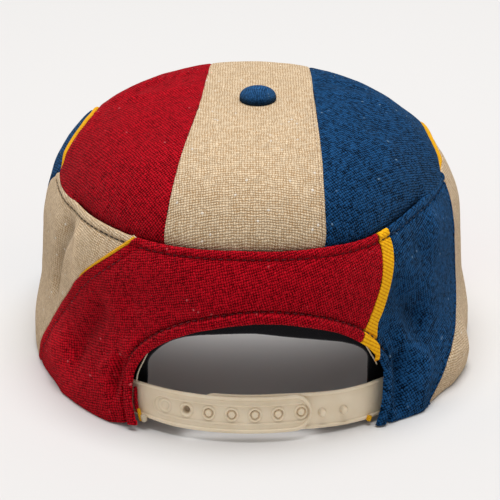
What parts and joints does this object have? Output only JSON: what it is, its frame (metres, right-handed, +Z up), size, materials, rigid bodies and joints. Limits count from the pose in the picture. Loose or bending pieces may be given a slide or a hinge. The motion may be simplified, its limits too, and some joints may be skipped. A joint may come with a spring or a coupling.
{
  "type": "pillbox hat",
  "caption": "Soft brimless pillbox hat of coloured cloth panels, with yellow piping and an arched back opening closed by a plastic snap strap.",
  "frame": {"origin": "middle of the rim's plane, under the centre of the hat's bounding box", "axes": "+Z up from the rim to the crown, +Y to the front, away from the back opening, +X to the right seen from the back"},
  "size_m": [0.1942, 0.2132, 0.1172],
  "materials": {
    "red_cloth": "woolly twill",
    "beige_cloth": "plain canvas weave",
    "blue_cloth": "woolly twill",
    "yellow_trim": "cotton tape and cord",
    "black_facing": "matt black cotton tape",
    "strap_plastic": "satin moulded plastic"
  },
  "bodies": {
    "root": {"crown_red": "red_cloth", "crown_beige": "beige_cloth", "crown_blue": "blue_cloth", "band_beige": "beige_cloth", "band_red": "red_cloth", "band_blue": "blue_cloth", "band_tape": "yellow_trim", "front_blue": "blue_cloth", "front_red": "red_cloth", "front_beige": "beige_cloth", "crown_piping": "yellow_trim", "band_piping": "yellow_trim", "arch_facing": "black_facing", "sweatband": "black_facing", "strap_outer": "strap_plastic", "strap_inner": "strap_plastic", "button": "blue_cloth"}
  },
  "joints": []
}
